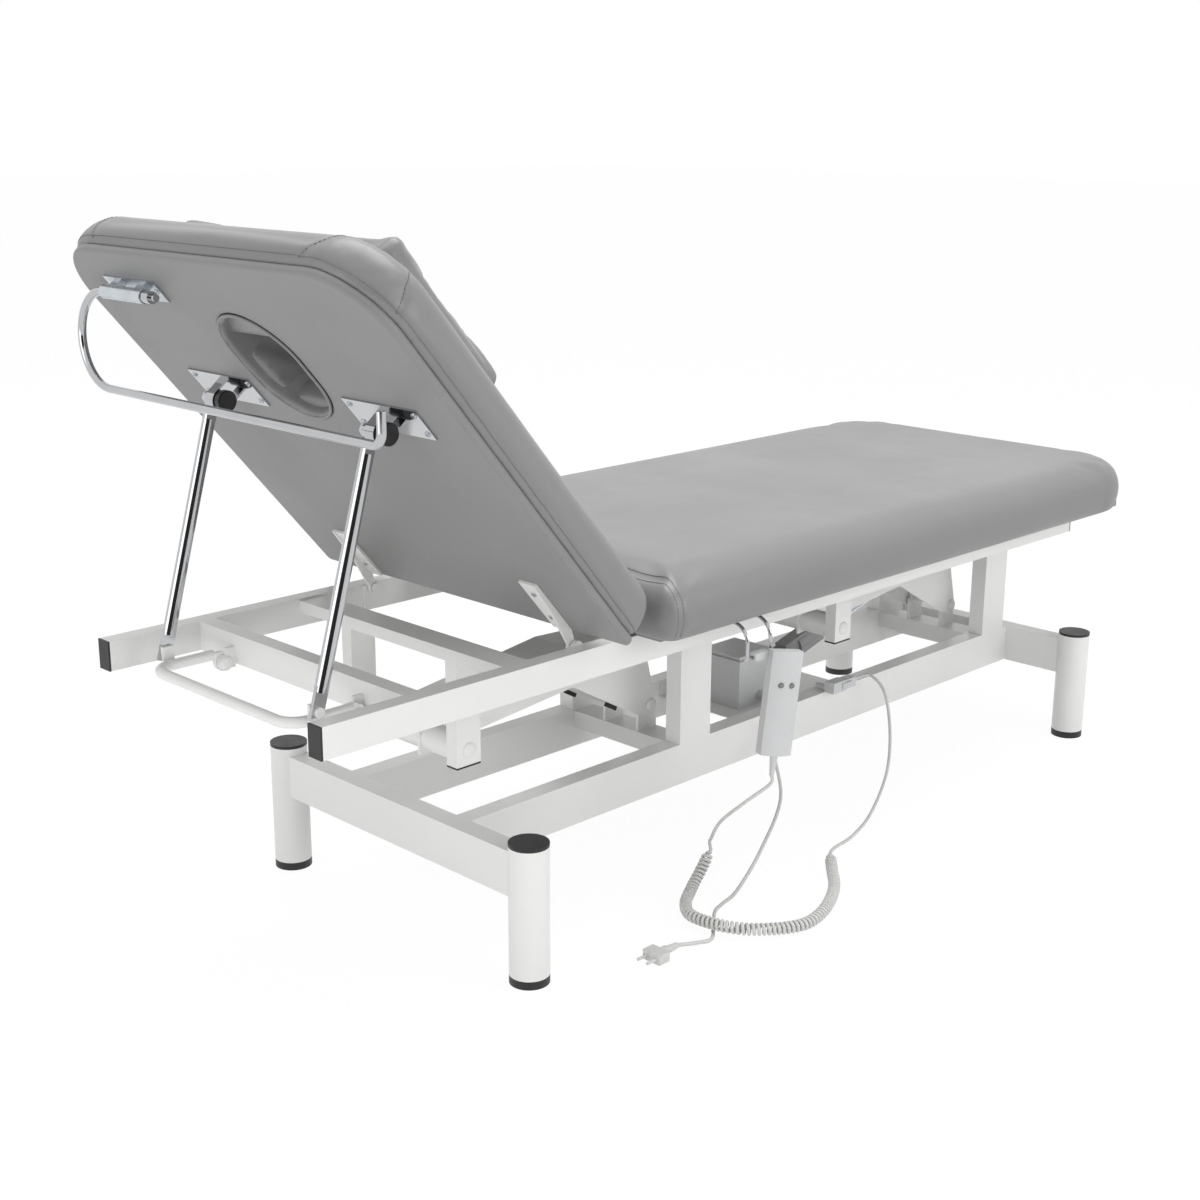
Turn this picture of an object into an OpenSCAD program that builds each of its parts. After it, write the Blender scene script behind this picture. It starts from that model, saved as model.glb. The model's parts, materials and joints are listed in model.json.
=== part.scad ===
// Facial treatment bed: powder-coated steel base with two parallel lift arms
// and one actuator, an upper frame with a seat, and a hinged backrest held by
// a prop. Millimetres, +Z up, +X towards the foot end, drawn fully lowered
// with the backrest propped.

/* [Base] */
// Distance between head and foot legs, centre to centre
leg_pitch = 1490; // [1200:10:1600]
// Distance between near and far legs, centre to centre
leg_track = 576; // [480:2:640]
// Leg diameter
leg_d = 60; // [40:1:80]
// Height of the legs with their caps
leg_h = 217; // [180:1:300]
// Thickness of the black foot under each leg
foot_h = 13; // [6:1:30]
// Thickness of the black cap on each leg
leg_cap_h = 5; // [3:1:12]
// Height of the base tubes
base_tube_h = 70; // [50:1:90]
// Underside of the base tubes above the floor
base_tube_z = 130; // [90:1:170]
// Width of the head and foot base tubes
cross_w = 35; // [25:1:60]
// Width of the base side rails
side_w = 32; // [20:1:50]
// Distance between the base side rails, centre to centre
side_track = 254; // [230:2:320]
// Start of the first upright from the head legs
upright_x = 477; // [430:1:520]
// Length of each upright along the bed
upright_l = 75; // [40:1:100]
// Thickness of the rubber pad on each upright
pad_h = 10; // [4:1:16]

/* [Upper frame] */
// Height of the upper rail tops when lowered
frame_top = 467; // [440:1:520]
// Height of the upper rail tube
rail_h = 45; // [30:1:60]
// Width of the upper rail tube
rail_w = 27; // [20:1:40]
// Distance between the upper rails, centre to centre
rail_track = 511; // [480:1:560]
// How far the upper rails reach past the head legs
rail_head = 333; // [260:1:400]
// Far end of the upper rails from the head legs
rail_foot = 1471; // [1300:1:1560]
// Wall of the upper tubes
tube_wall = 2; // [1.5:0.5:3]
// Thickness of the black rail end caps
cap_t = 3; // [2:0.5:6]
// Head face of the head cross tube from the head legs
cross_x = -182; // [-240:1:-120]
// Length of each hanging post along the bed
post_l = 46; // [30:1:60]
// Width of each hanging post across the bed
post_w = 23; // [18:1:32]
// Distance between the hanging posts, centre to centre
post_track = 245; // [200:1:262]
// Underside of the posts above the floor when lowered
post_z = 284; // [270:1:300]

/* [Lift] */
// Spacing of the two lift arms
arm_pitch = 902; // [800:1:960]
// Upper pivot from the head legs
arm_x = 24; // [10:1:60]
// Height of the upper pivots when lowered
arm_z = 307; // [300:1:320]
// Reach of an arm along the bed
arm_dx = 481; // [440:1:500]
// Height of the base pivots
pivot_z = 241; // [236:1:260]
// Width over an arm's side plates
arm_w = 100; // [80:1:120]
// Plate thickness of the arms
arm_t = 4; // [3:0.5:6]
// Torsion tube diameter
torsion_d = 44; // [34:1:48]
// Pivot pin diameter
pin_d = 16; // [10:1:20]
// Radial running clearance of every pivot
run_gap = 0.05; // [0.02:0.01:0.1]
// Lever from the base pivot to the actuator pin
lever_r = 124; // [90:1:130]

/* [Seat] */
// Width of seat and backrest
bed_w = 712; // [600:2:760]
// Head edge of the seat from the head legs
seat_x = 216; // [210:1:280]
// Length of the seat
seat_l = 1386; // [1200:1:1450]
// Thickness of the seat cushion
seat_t = 85; // [50:1:100]
// Thickness of the boards
board_t = 12; // [9:1:18]
// Rounding of the cushion edges
edge_r = 38; // [10:1:41]
// Rounding of the cushion corners seen from above
corner_r = 80; // [40:1:120]

/* [Backrest] */
// Angle of the propped backrest above level
back_tilt = 49.2; // [45:0.1:52]
// Length of the backrest
back_l = 717; // [640:1:760]
// Thickness of the backrest cushion
back_t = 76; // [50:1:90]
// Width of the backrest
back_w = 706; // [600:2:740]
// Rounding of the head corners
back_corner_r = 105; // [60:1:140]
// Length of the face hole along the bed
hole_l = 190; // [150:1:220]
// Width of the face hole
hole_w = 150; // [120:1:180]
// Centre of the face hole from the lower edge
hole_s = 517; // [480:1:560]
// Backrest pivot from the head legs
hinge_x = 142; // [130:1:150]
// Backrest pivot height
hinge_z = 462; // [455:1:464]

/* [Prop] */
// Prop strut diameter
strut_d = 19; // [14:1:22]
// Distance between the struts, centre to centre
strut_track = 360; // [320:2:400]
// Prop brackets from the backrest's lower edge
prop_s = 452; // [430:1:480]
// U-bar diameter
ubar_d = 16; // [12:1:20]
// Cross run of the U-bar from the head legs
ubar_x = -310; // [-330:1:-290]
// Height of the U-bar axis
ubar_z = 437; // [430:1:440]
// Distance between the U-bar arms, centre to centre
ubar_track = 334; // [300:2:344]

/* [Roll holder] */
// Rod diameter of the paper roll holder
rod_d = 12; // [8:1:14]
// Drop from the sleeve to the roll rod
rod_drop = 136; // [120:1:150]
// Length of the straight roll rod
rod_l = 590; // [520:1:600]

/* [Pillow and handset] */
// Length, width and thickness of the pillow
pillow = [264, 486, 58];
// Height, width and thickness of the handset
handset = [165, 52, 26];
// Lean of the handset on its hanger
handset_lean = 8; // [0:1:12]
// Handset cord diameter
lead_d = 5.6; // [4:0.2:7]
// Outer diameter of the curly part of the handset cord
curl_d = 20; // [14:1:24]
// Mains cord diameter
mains_d = 6; // [5:0.5:8]

/* [Hidden] */
$fn = 48;
e = 0.01;
fit_gap = 0.3;          // free gap between soft or loose neighbours
weld_gap = 0.05;        // gap of a tube in the hole it is welded into
mid_x = (seat_x + seat_l - rail_head - cap_t) / 2;
mid_y = 15.84;
base_top = base_tube_z + base_tube_h;
rail_z = frame_top - rail_h;
rail_in = rail_track / 2 - rail_w / 2;
side_in = side_track / 2 - side_w / 2;
side_out = side_track / 2 + side_w / 2;
post_in = post_track / 2 - post_w / 2;
post_out = post_track / 2 + post_w / 2;
bar_z = frame_top - 22;
pivot_x = arm_x + arm_dx;
upright_x2 = upright_x + arm_pitch + 3;
act_x = 900;
act_z = 225;
act_a = atan2(pivot_z + lever_r * sin(125.5) - act_z, pivot_x + arm_pitch + lever_r * cos(125.5) - act_x);
lever = [pivot_x + arm_pitch + lever_r * cos(125.5), pivot_z + lever_r * sin(125.5)];
act_len = norm([lever[0] - act_x, lever[1] - act_z]);
back_p = [140, 486];
prop_off = 26;
strut_a = 30;
peg_x = cross_x - 16;
peg_z = 426;
sleeve_s = 653;
hand_p = [455, -369.5, 335];

module place() { translate([-mid_x, mid_y, 0]) children(); }
module both_y() { for (s = [-1, 1]) scale([1, s, 1]) children(); }
module box(a, b) { translate(a) cube(b - a); }
module rod_y(x, z, y0, y1, d) { translate([x, y0, z]) rotate([-90, 0, 0]) cylinder(d = d, h = y1 - y0); }
// rectangular tube along X or Y
module tube_x(a, b) { difference() { box(a, b); box(a + [-1, tube_wall, tube_wall], b - [-1, tube_wall, tube_wall]); } }
module tube_y(a, b) { difference() { box(a, b); box(a + [tube_wall, -1, tube_wall], b - [tube_wall, -1, tube_wall]); } }
module tube_z(a, b) { difference() { box(a, b); box(a + [tube_wall, tube_wall, -1], b - [tube_wall, tube_wall, -1]); } }
module round_rect(l, w, r) {
    translate([r, 0]) square([l - 2 * r, w]);
    translate([0, r]) square([l, w - 2 * r]);
    for (x = [r, l - r], y = [r, w - r]) translate([x, y]) circle(r);
}
// cushion block on z 0: edges rounded all round, corners rounded in plan
module cushion(l, w, t, r, rc) {
    intersection() {
        translate([0, -w / 2, -1]) linear_extrude(t + 2) round_rect(l, w, rc);
        translate([-1, -w / 2, 0]) rotate([90, 0, 90]) linear_extrude(l + 2) round_rect(w, t, r);
        translate([0, w / 2 + 1, 0]) rotate([90, 0, 0]) linear_extrude(w + 2) round_rect(l, t, r);
    }
}
// backrest coordinates: x is minus the distance up from the lower edge, z is height off the underside
module on_back() { translate([back_p[0], 0, back_p[1]]) rotate([0, back_tilt, 0]) children(); }
function back_at(s, off) = [back_p[0] - s * cos(back_tilt) - off * sin(back_tilt), back_p[1] + s * sin(back_tilt) - off * cos(back_tilt)];
strut_top = back_at(prop_s, prop_off);
sleeve = back_at(sleeve_s, 20);

// ---- base
module at_legs() { for (x = [0, leg_pitch], y = [-leg_track / 2, leg_track / 2]) translate([x, y, 0]) children(); }
module leg_tubes() { color("white") place() at_legs() translate([0, 0, foot_h]) difference() { cylinder(d = leg_d, h = leg_h - foot_h - leg_cap_h); translate([0, 0, -1]) cylinder(d = leg_d - 5, h = leg_h); } }
module leg_caps() { color("black") place() at_legs() translate([0, 0, leg_h - leg_cap_h]) { cylinder(d = leg_d, h = leg_cap_h); translate([0, 0, -12]) cylinder(d = leg_d - 5.6, h = 12.5); } }
module leg_feet() { color("black") place() at_legs() { cylinder(d = leg_d, h = foot_h); cylinder(d = leg_d - 5.6, h = foot_h + 14); } }
module base_cross(x) {
    difference() {
        tube_y([x - cross_w / 2, -leg_track / 2, base_tube_z], [x + cross_w / 2, leg_track / 2, base_top]);
        for (s = [-1, 1]) translate([x, s * leg_track / 2, base_tube_z - 1]) cylinder(d = leg_d + 2 * weld_gap, h = base_tube_h + 2);
    }
}
module base_cross_head() { color("white") place() base_cross(0); }
module base_cross_foot() { color("white") place() base_cross(leg_pitch); }
module base_rail(s) { tube_x([cross_w / 2, s * side_track / 2 - side_w / 2, base_tube_z], [leg_pitch - cross_w / 2, s * side_track / 2 + side_w / 2, base_top]); }
module base_rail_near() { color("white") place() base_rail(-1); }
module base_rail_far() { color("white") place() base_rail(1); }
module at_uprights() { for (x = [upright_x, upright_x2], s = [-1, 1]) translate([x, s * side_track / 2, 0]) children(); }
module uprights() { color("white") place() at_uprights() tube_z([0, -side_w / 2, base_top], [upright_l, side_w / 2, rail_z - pad_h]); }
module upright_pads() { color("black") place() at_uprights() box([0, -side_w / 2, rail_z - pad_h], [upright_l, side_w / 2, rail_z]); }
module at_arms() { for (x = [0, arm_pitch]) translate([x, 0, 0]) children(); }
module pivot_lugs() {
    color("white") place() at_arms() {
        tube_y([pivot_x - 25, -side_in, base_top - 34], [pivot_x + 25, side_in, base_top - 4]);
        both_y() difference() {
            union() {
                box([pivot_x - 22, arm_w / 2 - arm_t - 10, base_top - 4], [pivot_x + 22, arm_w / 2 - arm_t - 4, pivot_z]);
                rod_y(pivot_x, pivot_z, arm_w / 2 - arm_t - 10, arm_w / 2 - arm_t - 4, 34);
            }
            rod_y(pivot_x, pivot_z, 0, arm_w, pin_d + 2 * run_gap);
        }
    }
}
module dome(x, z, y, s, d) { translate([x, y, z]) rotate([-90 * s, 0, 0]) { cylinder(d1 = 0.77 * d, d2 = 0.7 * d, h = 0.07 * d); translate([0, 0, 0.07 * d]) cylinder(d1 = 0.7 * d, d2 = 0.5 * d, h = 0.07 * d); translate([0, 0, 0.14 * d]) cylinder(d1 = 0.5 * d, d2 = 0.16 * d, h = 0.04 * d); } }
module pivot_pins() { color("white") place() at_arms() { rod_y(pivot_x, pivot_z, -arm_w / 2 - 1, arm_w / 2 + 1, pin_d); both_y() dome(pivot_x, pivot_z, arm_w / 2 + 0.5, 1, 30); } }
module cable_tray() {
    color("white") place() difference() {
        box([700, -side_in, base_top - 30], [1000, side_in, base_top - 6]);
        box([699, -side_in + 2, base_top - 28], [1001, side_in - 2, base_top]);
    }
}
module control_box() {
    color("gainsboro") place() {
        box([742, -46, base_top - 28], [846, 56, base_top + 62]);
        box([748, -40, base_top + 62], [840, 50, base_top + 68]);
        rod_y(800, base_top - 10, -60, -46, 16);
    }
}
module actuator_bracket() {
    color("white") place() {
        both_y() box([act_x - 16, 15, base_top - 28], [act_x + 16, 20, act_z + 14]);
        rod_y(act_x, act_z, -19, 19, 12);
    }
}

// ---- lift arms
function arm_shape() = let (a = arm_x, b = arm_z, c = pivot_x, d = pivot_z) [
    [a - 24, b - 24], [a - 24, b + 25], [a + 306, b + 70], [c - 20, d + 130], [c - 8, d + 75], [c + 8, d + 14],
    [c + 14, d - 8], [c + 8, d - 16], [c - 8, d - 18], [c - 36, d - 9], [c - 185, d + 74]];
module arm(lug) {
    difference() {
        union() {
            both_y() translate([0, arm_w / 2, 0]) rotate([90, 0, 0]) linear_extrude(arm_t) polygon(arm_shape());
            // top web
            translate([0, arm_w / 2 - arm_t / 2, 0]) rotate([90, 0, 0]) linear_extrude(arm_w - arm_t)
                polygon([[arm_x + 40, arm_z + 29.7], [arm_x + 40, arm_z + 33.7], [arm_x + 306, arm_z + 70], [pivot_x - 86, pivot_z + 132.5], [pivot_x - 86, pivot_z + 128.5], [arm_x + 306, arm_z + 66]]);
        }
        rod_y(arm_x, arm_z, -arm_w, arm_w, torsion_d + 2 * weld_gap);
        rod_y(pivot_x, pivot_z, -arm_w, arm_w, pin_d + 2 * run_gap);
        if (lug) rod_y(lever[0] - arm_pitch, lever[1], -arm_w, arm_w, 16 + 2 * weld_gap);
    }
}
module torsion() { rod_y(arm_x, arm_z, -post_in + 0.5, post_in - 0.5, torsion_d); rod_y(arm_x, arm_z, -post_out - 2, post_out + 2, pin_d); }
module head_arm() { color("white") place() arm(false); }
module foot_arm() { color("white") place() translate([arm_pitch, 0, 0]) arm(true); }
module head_torsion() { color("white") place() torsion(); }
module foot_torsion() { color("white") place() translate([arm_pitch, 0, 0]) torsion(); }
module arm_stop() { color("black") place() for (s = [-1, 1]) translate([pivot_x - 94, s * (arm_w / 2 - arm_t / 2), pivot_z + 23]) rotate([0, 29, 0]) box([-14, -arm_t / 2, -7.5], [14, arm_t / 2, -0.2]); }
module lever_pin() { color("silver") place() rod_y(lever[0], lever[1], -arm_w / 2 - 3, arm_w / 2 + 3, 16); }
module on_act() { translate([act_x, 0, act_z]) rotate([0, -act_a, 0]) children(); }
module actuator_body() {
    color("darkgray") place() on_act() difference() {
        union() { box([-13, -14, -13], [30, 14, 13]); box([20, -13, -20], [130, 13, 20]); translate([56, 0, 0]) rotate([0, 90, 0]) cylinder(d = 40, h = 74); }
        rod_y(0, 0, -20, 20, 12 + 2 * run_gap);
        translate([60, 0, 0]) rotate([0, 90, 0]) cylinder(d = 34 + 2 * weld_gap, h = 90);
    }
}
module actuator_tube() { color("silver") place() on_act() translate([60.5, 0, 0]) rotate([0, 90, 0]) difference() { cylinder(d = 34, h = act_len - 120); translate([0, 0, 4]) cylinder(d = 22 + 2 * run_gap, h = act_len); } }
module actuator_rod() {
    color("silver") place() on_act() {
        translate([80, 0, 0]) rotate([0, 90, 0]) cylinder(d = 22, h = act_len - 98);
        difference() {
            box([act_len - 20, -10, -22], [act_len + 20, 10, 21]);
            translate([act_len, 0, 0]) { box([-8.9, -11, -10], [8.9, 11, 10]); for (s = [-1, 1]) rod_y(0, s * 10, -11, 11, 17.8); }
        }
    }
}

// ---- upper frame
module rail(s) { tube_x([-rail_head, s * rail_track / 2 - rail_w / 2, rail_z], [rail_foot, s * rail_track / 2 + rail_w / 2, frame_top]); }
module rail_near() { color("white") place() rail(-1); }
module rail_far() { color("white") place() rail(1); }
module rail_caps() {
    color("black") place() for (s = [-1, 1]) translate([0, s * rail_track / 2, 0]) {
        for (q = [[-rail_head - cap_t, -rail_head, -rail_head + 12], [rail_foot + cap_t, rail_foot, rail_foot - 12]]) {
            box([min(q[0], q[1]), -rail_w / 2, rail_z], [max(q[0], q[1]), rail_w / 2, frame_top]);
            box([min(q[1], q[2]) - e, -rail_w / 2 + tube_wall + 0.2, rail_z + tube_wall + 0.2], [max(q[1], q[2]) + e, rail_w / 2 - tube_wall - 0.2, frame_top - tube_wall - 0.2]);
        }
    }
}
module cross_head() { color("white") place() tube_y([cross_x, -rail_in, rail_z], [cross_x + rail_w, rail_in, frame_top]); }
module prop_lugs() {
    color("white") place() both_y() difference() {
        union() { box([peg_x, ubar_track / 2 - 17, peg_z - 9], [cross_x, ubar_track / 2 - 11, peg_z + 22]); rod_y(peg_x, peg_z, ubar_track / 2 - 17, ubar_track / 2 - 11, 24); }
        rod_y(peg_x, peg_z, 0, ubar_track, 12 + 2 * weld_gap);
    }
}
module prop_pegs() { color("white") place() both_y() { rod_y(peg_x, peg_z, ubar_track / 2 - 17.5, ubar_track / 2 - 11, 12); dome(peg_x, peg_z, ubar_track / 2 - 17.2, -1, 29); } }
module frame_bars() { color("white") place() for (x = [upright_x + upright_l / 2, upright_x2 + upright_l / 2]) tube_y([x - 20, -rail_in, rail_z], [x + 20, rail_in, frame_top]); }
module post_bars() { color("white") place() at_arms() tube_y([arm_x - post_l / 2, -rail_in, bar_z], [arm_x + post_l / 2, rail_in, frame_top - 3]); }
module at_posts() { at_arms() for (s = [-1, 1]) translate([arm_x, s * post_track / 2, 0]) children(); }
module lift_posts() { color("white") place() difference() { at_posts() tube_z([-post_l / 2, -post_w / 2, post_z], [post_l / 2, post_w / 2, bar_z]); at_arms() rod_y(arm_x, arm_z, -rail_in, rail_in, pin_d + 2 * run_gap); } }
module post_caps() { color("black") place() at_posts() { box([-post_l / 2, -post_w / 2, post_z - 3], [post_l / 2, post_w / 2, post_z]); box([-post_l / 2 + 2.2, -post_w / 2 + 2.2, post_z - e], [post_l / 2 - 2.2, post_w / 2 - 2.2, post_z + 8]); } }
module post_domes() { color("white") place() difference() { at_arms() both_y() dome(arm_x, arm_z, post_out, 1, 32); at_arms() rod_y(arm_x, arm_z, -post_out - 3, post_out + 3, pin_d + 1); } }
module hinge_lugs() { color("white") place() both_y() { box([hinge_x - 16, rail_in - 6, frame_top - 38], [hinge_x + 16, rail_in, hinge_z + 3]); rod_y(hinge_x, hinge_z, rail_in - 6, rail_in, 22); rod_y(hinge_x, hinge_z, rail_in - 16, rail_in - 5, 10); rod_y(hinge_x, hinge_z, rail_in - 17.5, rail_in - 14, 15); } }
module seat_board() { color("dimgray") place() box([seat_x + 22, -bed_w / 2 + 40, frame_top], [seat_x + seat_l - 40, bed_w / 2 - 40, frame_top + board_t]); }
module seat_cushion() { color("silver") place() difference() { translate([seat_x, 0, frame_top + fit_gap]) cushion(seat_l, bed_w, seat_t + board_t, edge_r, corner_r); box([seat_x + 21.7, -bed_w / 2 + 39.7, frame_top - 1], [seat_x + seat_l - 39.7, bed_w / 2 - 39.7, frame_top + board_t + fit_gap]); } }
hang_x = 432;
module handset_hanger() {
    color("silver") place() {
        for (x = [hang_x - 27, hang_x + 27]) {
            rod_y(x, frame_top - 4.5, -312, -281, 6);
            translate([x, -312, frame_top - 34.5]) rotate([0, 90, 0]) rotate([0, 0, 180]) rotate_extrude(angle = 90) translate([30, 0]) circle(d = 6);
            translate([x, -342, frame_top - 58]) cylinder(d = 6, h = 23.5);
        }
        translate([hang_x - 30, -342, frame_top - 58]) rotate([0, 90, 0]) cylinder(d = 6, h = 60);
        box([hang_x - 36, -296, frame_top - 1.5], [hang_x + 36, -272, frame_top]);
    }
}

// ---- backrest
module hole_shape(g) { for (s = [-1, 1]) translate([-hole_s + s * (hole_l - hole_w) / 2, -8]) circle(d = hole_w + 2 * g); translate([-hole_s - (hole_l - hole_w) / 2, -8 - hole_w / 2 - g]) square([hole_l - hole_w, hole_w + 2 * g]); }
module backrest_board() {
    color("dimgray") place() on_back() difference() {
        linear_extrude(board_t) difference() {
            translate([-back_l + 8, -back_w / 2 + 8]) { translate([back_corner_r, 0]) square([back_l - 16 - back_corner_r, back_w - 16]); translate([0, back_corner_r]) square([back_l - 16, back_w - 16 - 2 * back_corner_r]); for (y = [back_corner_r, back_w - 16 - back_corner_r]) translate([back_corner_r, y]) circle(back_corner_r); }
            hole_shape(2);
        }
    }
}
module backrest_cushion() {
    color("silver") place() on_back() difference() {
        intersection() {
            translate([-back_l, 0, board_t + fit_gap]) cushion(back_l, back_w, back_t, edge_r - 12, edge_r - 8);
            translate([-back_l, -back_w / 2, 0]) linear_extrude(board_t + back_t + 1) { translate([back_corner_r, 0]) square([back_l - back_corner_r, back_w]); translate([0, back_corner_r]) square([back_l, back_w - 2 * back_corner_r]); for (y = [back_corner_r, back_w - back_corner_r]) translate([back_corner_r, y]) circle(back_corner_r); }
        }
        translate([0, 0, -1]) linear_extrude(board_t + back_t + 2) hole_shape(0);
    }
}
hinge_u = (back_p[0] - hinge_x) * cos(back_tilt) - (back_p[1] - hinge_z) * sin(back_tilt);
hinge_v = (back_p[0] - hinge_x) * sin(back_tilt) + (back_p[1] - hinge_z) * cos(back_tilt);
module hinge_arms() {
    color("white") place() both_y() on_back() difference() {
        union() {
            box([-112, rail_in - 42, -4], [-6, rail_in - 10, 0]);
            translate([0, rail_in - 7.5, 0]) rotate([90, 0, 0]) linear_extrude(5) {
                polygon([[-112, 0], [-112, -5], [-50, -9], [-hinge_u - 9, -hinge_v - 6], [-hinge_u + 8, -hinge_v], [-6, 0]]);
                translate([-hinge_u, -hinge_v]) circle(d = 22);
            }
        }
        translate([-hinge_u, 0, -hinge_v]) rotate([-90, 0, 0]) cylinder(d = 10 + 2 * run_gap, h = rail_in);
        for (x = [-88, -34]) translate([x, rail_in - 26, -9]) cylinder(d = 5, h = 12);
    }
}
module screw(shank) { translate([0, 0, -6]) difference() { union() { cylinder(d1 = 8, d2 = 9, h = 2); cylinder(d = 4.6, h = shank); } for (a = [0, 90]) rotate([0, 0, a]) box([-2.6, -0.5, -1], [2.6, 0.5, 0.9]); } }
plate_y = [-strut_track / 2 - 16, strut_track / 2 - 10];
module board_screws() {
    color("silver") place() on_back() {
        both_y() for (x = [-88, -34]) translate([x, rail_in - 26, 0]) screw(5.8);
        for (y = plate_y, a = [-66, 66], b = [-17, 17]) translate([-prop_s + b, y + a, 0]) translate([0, 0, 1]) screw(4.8);
        for (a = [-54, 54]) translate([-sleeve_s + 8, 190 + a, 1]) screw(4.8);
    }
}
module prop_plates() {
    color("silver") place() on_back() for (y = plate_y) translate([-prop_s, y, 0]) difference() {
        union() {
            box([-27, -76, -3], [27, 76, 0]);
            rod_y(0, -prop_off, -12, 7, 34);
            box([-17, -12, -prop_off], [-14, 7, -2.9]);
            box([14, -12, -prop_off], [17, 7, -2.9]);
        }
        rod_y(0, -prop_off, -13, 9, 28.4);
        box([-14, -13, -prop_off], [14, 9, -3]);
        for (a = [-66, 66], b = [-17, 17]) translate([b, a, -4]) cylinder(d = 5, h = 6);
    }
}
module prop_pins() {
    color("silver") place() for (y = plate_y) translate([0, y, 0]) {
        rod_y(strut_top[0], strut_top[1], -10, 27, 10);
        rod_y(strut_top[0], strut_top[1], 19.2, 21, 22);
        translate([strut_top[0], 21, strut_top[1]]) rotate([-90, 0, 0]) cylinder(d = 17, h = 8, $fn = 6);
    }
}
module prop_knobs() { color("black") place() for (y = plate_y) translate([0, y, 0]) difference() { union() { rod_y(strut_top[0], strut_top[1], -26, 6, 28); rod_y(strut_top[0], strut_top[1], -24, -15, 31); } rod_y(strut_top[0], strut_top[1], -11, 7, 10 + 2 * weld_gap); } }
strut_y = [plate_y[0] + 13, plate_y[1] + 13];
strut_low = [-278, ubar_z + 16];
module prop_struts() {
    dx = strut_top[0] - strut_low[0]; dz = strut_top[1] - strut_low[1]; l = norm([dx, dz]);
    color("silver") place() for (y = strut_y) difference() {
        translate([strut_low[0], y, strut_low[1]]) rotate([0, atan2(dx, dz), 0]) {
            difference() { translate([0, 0, 26]) cylinder(d = strut_d, h = l - 44); box([-20, 6, 20], [20, 20, 40]); box([-20, -20, l - 30], [20, -5.8, l]); box([-20, 5.8, l - 30], [20, 20, l]); }
            box([-10, -3, -13], [10, 3, 34]);
            box([-8, -5.5, l - 32], [8, 5.5, l]);
            rod_y(0, l, -5.8, 5.8, 24);
        }
        rod_y(strut_top[0], strut_top[1], y - 20, y + 20, 10 + 2 * run_gap);
        rod_y(strut_low[0], strut_low[1], y - 20, y + 20, 8 + 2 * weld_gap);
    }
}
module ubar_arm(s) {
    y = s * ubar_track / 2;
    translate([ubar_x + strut_a, y, ubar_z]) rotate([0, 90, 0]) cylinder(d = ubar_d, h = peg_x - 12 - ubar_x - strut_a);
    difference() {
        translate([ubar_x + strut_a, y - s * strut_a, ubar_z]) rotate([0, 0, s > 0 ? 90 : 180]) rotate_extrude(angle = 90) translate([strut_a, 0]) circle(d = ubar_d);
    }
}
module prop_ubar() {
    color("white") place() {
        rod_y(ubar_x, ubar_z, -ubar_track / 2 + strut_a, ubar_track / 2 - strut_a, ubar_d);
        for (s = [-1, 1]) {
            ubar_arm(s);
            // eye beside the lug, with its domed nut
            translate([0, s * ubar_track / 2, 0]) difference() {
                union() { rod_y(peg_x, peg_z, s > 0 ? -10.5 : 2.5, s > 0 ? -2.5 : 10.5, 27); box([peg_x - 14, s > 0 ? -10.5 : 2.5, peg_z], [peg_x, s > 0 ? -2.5 : 10.5, ubar_z + 5]); }
                rod_y(peg_x, peg_z, -20, 20, 12.6);
            }
            dome(peg_x, peg_z, s * (ubar_track / 2 - 2.7), s, 24);
        }
        // an ear on the inner side of each strut, and the bolt through both
        for (s = [-1, 1]) {
            yc = s < 0 ? strut_y[0] : strut_y[1];
            in_a = yc - s * 3.2; in_b = yc - s * 9; arm_y = s * ubar_track / 2;
            box([strut_low[0] - 9, min(in_a, in_b), ubar_z - 3], [strut_low[0] + 9, max(in_a, in_b), ubar_z + 26]);
            box([strut_low[0] - 9, min(in_a, arm_y), ubar_z - 3], [strut_low[0] + 9, max(in_a, arm_y), ubar_z + 3]);
            rod_y(strut_low[0], strut_low[1], min(in_b, yc + s * 8), max(in_b, yc + s * 8), 8);
            rod_y(strut_low[0], strut_low[1], min(yc + s * 3.2, yc + s * 8), max(yc + s * 3.2, yc + s * 8), 14);
        }
    }
}
module roll_plate() {
    color("silver") place() {
        difference() {
            on_back() translate([-sleeve_s + 8, 190, 0]) box([-19, -64, -3], [19, 64, 0]);
            on_back() for (a = [-54, 54]) translate([-sleeve_s + 8, 190 + a, -4]) cylinder(d = 5, h = 6);
        }
        difference() {
            union() { rod_y(sleeve[0], sleeve[1], 136, 240, 20); on_back() box([-sleeve_s - 6, 150, -16], [-sleeve_s + 6, 166, -2]); on_back() box([-sleeve_s - 6, 214, -16], [-sleeve_s + 6, 230, -2]); }
            rod_y(sleeve[0], sleeve[1], 130, 250, rod_d + 2 * run_gap);
        }
    }
}
module roll_rod() {
    r = rod_drop / 2; y1 = 243; y2 = 240 - rod_l;
    color("silver") place() {
        rod_y(sleeve[0], sleeve[1], 118, y1, rod_d);
        translate([sleeve[0], y1, sleeve[1] - r]) rotate([90, 0, 90]) rotate([0, 0, -90]) rotate_extrude(angle = 180) translate([r, 0]) circle(d = rod_d);
        rod_y(sleeve[0], sleeve[1] - rod_drop, y2, y1, rod_d);
        translate([sleeve[0], y2, sleeve[1] - rod_drop + 16]) rotate([90, 0, 90]) rotate([0, 0, 180]) rotate_extrude(angle = 90) translate([16, 0]) circle(d = rod_d);
        translate([sleeve[0], y2 - 16, sleeve[1] - rod_drop + 16]) cylinder(d = rod_d, h = 26);
        rod_y(sleeve[0], sleeve[1], 118, 135.6, 17);
        rod_y(sleeve[0], sleeve[1], 108, 119, 10);
        rod_y(sleeve[0], sleeve[1], 240.5, 243, 17);
    }
}
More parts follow.
